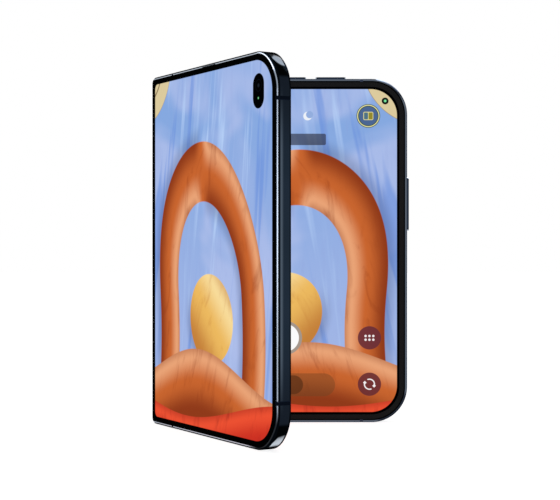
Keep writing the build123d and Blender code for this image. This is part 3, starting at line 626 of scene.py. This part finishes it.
def lens_glass():
    """Rear lens windows: black glass with the rings of a lens under it, and a painted blue reflection of its
    coating in the middle.
    """
    paint = Paint("lens_glass")
    u, _, z = paint.half_place(MAIN)
    tone = rgb("07090c")
    for mid in RING_U:
        away = (u - mid).length(z - PLATEAU_Z)
        for radius, width, colour in ((4.3, 0.12, "1b222b"), (3.4, 0.2, "11161d"), (2.7, 0.1, "2a3644"),
                                      (1.5, 0.5, "1a2a4a")):
            tone = paint.mix(inside((away - radius).size() - width, 0.15), tone, rgb(colour))
        # painted reflection: the blue of the lens coating in the middle
        tone = paint.mix(inside(away - 1.2, 0.5), tone, rgb("20305c"))
    paint.link(tone, "Base Color")
    paint.set(Roughness=0.05, Coat_Weight=1.0, Coat_Roughness=0.02)
    return paint.material


def front_lens():
    """The camera in the inner display: a black window with a painted green glint in its middle, which glows.
    """
    paint = Paint("front_lens")
    u, _, z = paint.half_place(MAIN)
    away = (u - HOLE_U).length(z - HOLE_Z)
    # painted glint, sent to the emission so that it glows
    glint = paint.mix(inside(away - 0.42, 0.2), rgb("000000"), rgb("7df2a4"))
    paint.link(glint, "Emission Color")
    paint.set(Base_Color=(0.002, 0.002, 0.002, 1), Roughness=0.06, IOR=1.2, Emission_Strength=1.0)
    return paint.material


def flash_lens():
    """A pale lens with the fine rings of its cut."""
    paint = Paint("flash_lens")
    u, _, z = paint.half_place(MAIN)
    away = (u - FLASH_U).length(z - PLATEAU_Z)
    rings = (away * 14.0).wave()
    paint.link(paint.mix(inside(away - 0.7, 0.2), rgb("efe9cf"), rgb("f4d98a")), "Base Color")
    paint.set(Roughness=0.15, Coat_Weight=1.0, Coat_Roughness=0.03)
    paint.bump(rings, 0.02, 0.6)
    return paint.material


def board_laminate():
    """Green board with winding lanes."""
    paint = Paint("board_laminate")
    place = paint.object_place()
    lanes = paint.noise(place, 700.0, 0.0, 0.5, 2.0)
    paint.link(paint.mix(lanes.ramp(0.48, 0.52), rgb("0d3a26"), rgb("1c5a3c")), "Base Color")
    paint.set(Roughness=0.4)
    return paint.material


MAKERS = {
    "antenna_plastic": lambda: moulded("antenna_plastic", "141c2a", 0.4, 0.0),
    "back_glass": back_glass,
    "lens_glass": lens_glass,
    "flash_lens": flash_lens,
    "trim_rubber": lambda: moulded("trim_rubber", "131314", 0.5),
    "inner_alloy": lambda: satin_metal("inner_alloy", "b8babd", 0.3),
    "spine_metal": lambda: satin_metal("spine_metal", "2b3947", 0.25),
    "hinge_steel": lambda: satin_metal("hinge_steel", "a4a5a8", 0.22),
    "battery_wrap": lambda: moulded("battery_wrap", "17181a", 0.4),
    "board_laminate": board_laminate,
    "coil_copper": lambda: satin_metal("coil_copper", "b8743f", 0.3),
    "inner_plastic": lambda: moulded("inner_plastic", "202225", 0.5),
}

OWN = {
    "main_frame": lambda: frame_metal("main_frame_metal", MAIN),
    "main_antenna_breaks": lambda: moulded("main_break_plastic", "52607a", 0.4, 0.0),
    "main_midplate": lambda: inner_plate("main_plate", MAIN),
    "cover_midplate": lambda: inner_plate("cover_plate", COVER),
    "power_button": lambda: key_metal("power_button", 2),
    "volume_up_button": lambda: key_metal("volume_up_button", 0),
    "volume_down_button": lambda: key_metal("volume_down_button", 0),
    "camera_rings": lambda: satin_metal("ring_metal", "33414f", 0.12),
    "cover_frame": lambda: frame_metal("cover_frame_metal", COVER),
    "main_display": lambda: inner_display("main_picture", 1, MAIN),
    "cover_inner_display": lambda: inner_display("cover_half_picture", -1, COVER),
    "fold_display": lambda: moulded("fold_back", "08080a", 0.4),
    "cover_glass": cover_display,
    "cover_screen": lambda: moulded("screen_back", "08080a", 0.4),
    "front_camera": front_lens,
    "cover_camera": lambda: moulded("camera_body", "08090b", 0.25),
}


def dress():
    """Gives each CAD node its own material, or the one that its slot shares."""
    shared = {}
    for part in frame["record"]["subparts"]:
        node, slot = part["node"], part["material_slot"]
        if node in OWN:
            material = OWN[node]()
        else:
            if slot not in shared:
                shared[slot] = MAKERS[slot]()
            material = shared[slot]
        mesh = frame["nodes"][node].data
        mesh.materials.clear()
        mesh.materials.append(material)
    return shared


def soften(node, width, segments=3):
    """Rounds a CAD node's sharp edges with modifiers alone."""
    item = frame["nodes"][node]
    weld = item.modifiers.new("weld", "WELD")
    weld.merge_threshold = WELD * MM
    bevel = item.modifiers.new("soften", "BEVEL")
    bevel.width = width * MM
    bevel.segments = segments
    bevel.limit_method = "ANGLE"
    bevel.angle_limit = math.radians(SHARP_DEG)
    bevel.use_clamp_overlap = True
    bevel.harden_normals = True


# ---------------------------------------------------------------- own pieces
def piece(name, points, faces, body, material, smooth=False):
    mesh = bpy.data.meshes.new(name)
    mesh.from_pydata([tuple(p) for p in points], [], faces)
    mesh.validate()
    mesh.update()
    for polygon in mesh.polygons:
        polygon.use_smooth = smooth
    mesh.materials.append(material)
    item = bpy.data.objects.new(name, mesh)
    bpy.context.scene.collection.objects.link(item)
    if body:
        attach(item, body)
    return item


def turned(point, pivot, angle):
    """A point of the spine's flat frame, turned about a fold axis."""
    du, dy = point[0] - pivot[0], point[1] - pivot[1]
    return (pivot[0] + du * math.cos(angle) - dy * math.sin(angle),
            pivot[1] + du * math.sin(angle) + dy * math.cos(angle))


def settled(flat, way, start, end):
    pivot = (way * AXIS_U, AXIS_Y)
    share = 0.5
    span = (end[0] - start[0], end[1] - start[1])
    size = span[0] ** 2 + span[1] ** 2
    for _ in range(200):
        at = turned(flat, pivot, -way * share * math.radians(FOLD))
        t = ((at[0] - start[0]) * span[0] + (at[1] - start[1]) * span[1]) / size
        t = min(max(t, 0.0), 1.0)
        share += 0.5 * (t * t * (3 - 2 * t) - share)
    return turned(flat, pivot, -way * share * math.radians(FOLD))


def fold_strips(material):
    """The bending strip of the display, one piece on each side of the spine's middle."""
    columns, rows = 36, 12
    for way, body in ((1, "main_half"), (-1, "cover_half")):
        start = (way * 0.4, PANEL_Y)
        end = turned((way * (STRIP_U - 0.2), PANEL_Y), (way * AXIS_U, AXIS_Y), -way * math.radians(FOLD))
        points, flats = [], []
        for depth in (PANEL_Y, PANEL_Y + PANEL_T / 2):
            for i in range(columns + 1):
                u = way * STRIP_U * i / columns
                x, y = settled((u, depth), way, start, end)
                for k in range(rows + 1):
                    z = STRIP_LOW + (HEIGHT - 2 * STRIP_LOW) * k / rows
                    points.append(SPINE.at(x, y, z))
                    flats.append((u, z))
        layer, line = (columns + 1) * (rows + 1), rows + 1
        faces = []
        for i in range(columns):
            for k in range(rows):
                a = i * line + k
                quad = (a, a + line, a + line + 1, a + 1)
                faces.append(quad)
                faces.append(tuple(layer + v for v in reversed(quad)))
            for k in (0, rows):
                a = i * line + k
                faces.append((a, a + layer, a + layer + line, a + line))
        item = piece("fold_strip_" + body, points, faces, None, material, True)
        uv = item.data.uv_layers.new(name="flat")
        for loop in item.data.loops:
            u, z = flats[loop.vertex_index]
            uv.data[loop.index].uv = (0.5 + u / 1000, z / 1000)
        SPINE.at(*start, 0)
        SPINE.at(*end, 0)
        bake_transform(item)
        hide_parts("fold_display")


def dome(name, side, u, y, z, radius, rise, body, material):
    """A low glass dome that points out of a half's outer face."""
    points, faces, rings, steps = [], [], 6, 32
    for i in range(rings + 1):
        share = i / rings
        r = radius * math.cos(share * math.pi / 2)
        for k in range(steps):
            a = 2 * math.pi * k / steps
            up = rise * math.sin(share * math.pi / 2)
            points.append(side.at(u + r * math.cos(a), y + up, z + r * math.sin(a)))
    for i in range(rings):
        for k in range(steps):
            n = (k + 1) % steps
            faces.append((i * steps + k, i * steps + n, (i + 1) * steps + n, (i + 1) * steps + k))
    return piece(name, points, faces, body, material, True)


def rods(name, side, lines, up, wide, thick, body, material):
    """Thin bars with eight-sided sections, each from one point of a half's own frame to another."""
    points, faces, sides = [], [], 8
    up = Vector(up)
    for start, end in lines:
        across = (Vector(end) - Vector(start)).cross(up).normalized()
        first = len(points)
        for spot in (start, end):
            for k in range(sides):
                a = 2 * math.pi * (k + 0.5) / sides
                away = across * (math.cos(a) * wide / 2) + up * (math.sin(a) * thick / 2)
                points.append(side.at(*(Vector(spot) + away)))
        for k in range(sides):
            n = (k + 1) % sides
            faces.append((first + k, first + n, first + sides + n, first + sides + k))
        faces.append(tuple(first + k for k in reversed(range(sides))))
        faces.append(tuple(first + sides + k for k in range(sides)))
    item = piece(name, points, faces, body, material)
    shell = bmesh.new()
    shell.from_mesh(item.data)
    bmesh.ops.recalc_face_normals(shell, faces=shell.faces)
    shell.to_mesh(item.data)
    shell.free()
    return item


def openings():
    """Contacts on the port's tongue and woven mesh in the sound openings."""
    gold, mesh = satin_metal("contact_gold", "b89a5c", 0.2), satin_metal("mesh_metal", "2a3038", 0.4)
    middle = HALF_T / 2
    pitch, low, high = 0.5, 1.5, 4.4
    lines = []
    for i in range(-5, 6):
        for way in (-1, 1):
            u, y = PORT_U + pitch * i, middle + way * TONGUE_T / 2
            lines.append(((u, y, low), (u, y, high)))
    rods("port_contacts", MAIN, lines, (0, 1, 0), 0.28, 0.08, "main_half", gold)

    pitch, half, reach, low, high = 0.4, SOUND_W / 2 - 0.02, SOUND_LEN / 2 - 0.5, 0.75, 0.78
    lines = []
    for mid in (PORT_U - SOUND_MID, PORT_U + SOUND_MID):
        for i in range(-12, 13):
            u = mid + pitch * i
            lines.append(((u, middle - half, low), (u, middle + half, low)))
        for dy in (-0.4, 0.0, 0.4):
            lines.append(((mid - reach, middle + dy, high), (mid + reach, middle + dy, high)))
    rods("sound_mesh", MAIN, lines, (0, 0, 1), 0.12, 0.12, "main_half", mesh)

    pitch, half, reach = 0.35, EARPIECE_SLOT / 2 - 0.01, EARPIECE_LEN / 2 - 0.1
    deep, front = HALF_T - 0.25, HALF_T - 0.28
    lines = []
    for i in range(-12, 13):
        u = PORT_U + pitch * i
        lines.append(((u, deep, EARPIECE_Z - half), (u, deep, EARPIECE_Z + half)))
    for dz in (-0.12, 0.12):
        z = EARPIECE_Z + dz
        lines.append(((PORT_U - reach, front, z), (PORT_U + reach, front, z)))
    rods("earpiece_mesh", COVER, lines, (0, 1, 0), 0.1, 0.1, "cover_half", mesh)


# ---------------------------------------------------------------- studio
def camera():
    data = bpy.data.cameras.new("camera")
    data.lens = CAMERA_LENS
    data.sensor_width = CAMERA_SENSOR
    data.clip_start = CAMERA_START
    item = bpy.data.objects.new("camera", data)
    item.location = [v * MM for v in CAMERA_MM]
    item.rotation_euler = (math.radians(90), 0, 0)
    bpy.context.scene.collection.objects.link(item)
    bpy.context.scene.camera = item


def seen(tree):
    """1 for rays that show a background to the camera, a mirror or glass, and 0 for light."""
    path = tree.nodes.new("ShaderNodeLightPath")
    camera_ray, glossy, through = (Field(tree, path.outputs[name]) for name in
                                   ("Is Camera Ray", "Is Glossy Ray", "Is Transmission Ray"))
    return camera_ray.high(glossy).high(through)


def world():
    """White where it is seen, and a plain level of light on the phone."""
    item = bpy.data.worlds.new("studio")
    item.use_nodes = True
    tree = item.node_tree
    tree.nodes.clear()
    white, out = tree.nodes.new("ShaderNodeBackground"), tree.nodes.new("ShaderNodeOutputWorld")
    strength = seen(tree) * (1 - LIGHT_LEVEL) + LIGHT_LEVEL
    tree.links.new(strength.socket, white.inputs["Strength"])
    white.inputs["Color"].default_value = (1, 1, 1, 1)
    tree.links.new(white.outputs[0], out.inputs[0])
    bpy.context.scene.world = item


def softbox(name, place, aim, size, radiance):
    """A lit panel that metal and glass show, and that leaves dull surfaces alone."""
    data = bpy.data.lights.new(name, "AREA")
    data.shape = "RECTANGLE"
    data.size, data.size_y = size
    data.energy = radiance * math.pi * size[0] * size[1]
    item = bpy.data.objects.new(name, data)
    item.location = place
    item.rotation_euler = (Vector(aim) - Vector(place)).to_track_quat("-Z", "Y").to_euler()
    item.visible_diffuse = False
    bpy.context.scene.collection.objects.link(item)


def floor():
    """A pale floor: white to the camera, but for the shadow."""
    mesh = bpy.data.meshes.new("floor")
    corners = [(x * FLOOR_HALF, y * FLOOR_HALF, 0) for x, y in ((-1, -1), (1, -1), (1, 1), (-1, 1))]
    mesh.from_pydata(corners, [], [(0, 1, 2, 3)])
    item = bpy.data.objects.new("floor", mesh)
    bpy.context.scene.collection.objects.link(item)
    material = bpy.data.materials.new("floor")
    material.use_nodes = True
    tree = material.node_tree
    shader = tree.nodes["Principled BSDF"]
    shader.inputs["Base Color"].default_value = (FLOOR_TONE, FLOOR_TONE, FLOOR_TONE, 1)
    shader.inputs["Roughness"].default_value = 0.9
    shader.inputs["Specular IOR Level"].default_value = 0.0
    shader.inputs["Emission Color"].default_value = (1, 1, 1, 1)
    tree.links.new((seen(tree) * FLOOR_TONE).socket, shader.inputs["Emission Strength"])
    mesh.materials.append(material)


def main():
    shared = dress()
    for node, width in ROUNDED:
        soften(node, width)
    fold_strips(strip_display())
    for i, u in enumerate(RING_U):
        dome(f"lens_dome_{i}", MAIN, u, WINDOW_Y - DOME_SINK, PLATEAU_Z, DOME_R, DOME_RISE, "main_half",
             shared["lens_glass"])
    openings()
    world()
    floor()
    camera()
    for box in SOFTBOXES:
        softbox(*box)
    bpy.context.scene.view_settings.view_transform = "Standard"


main()
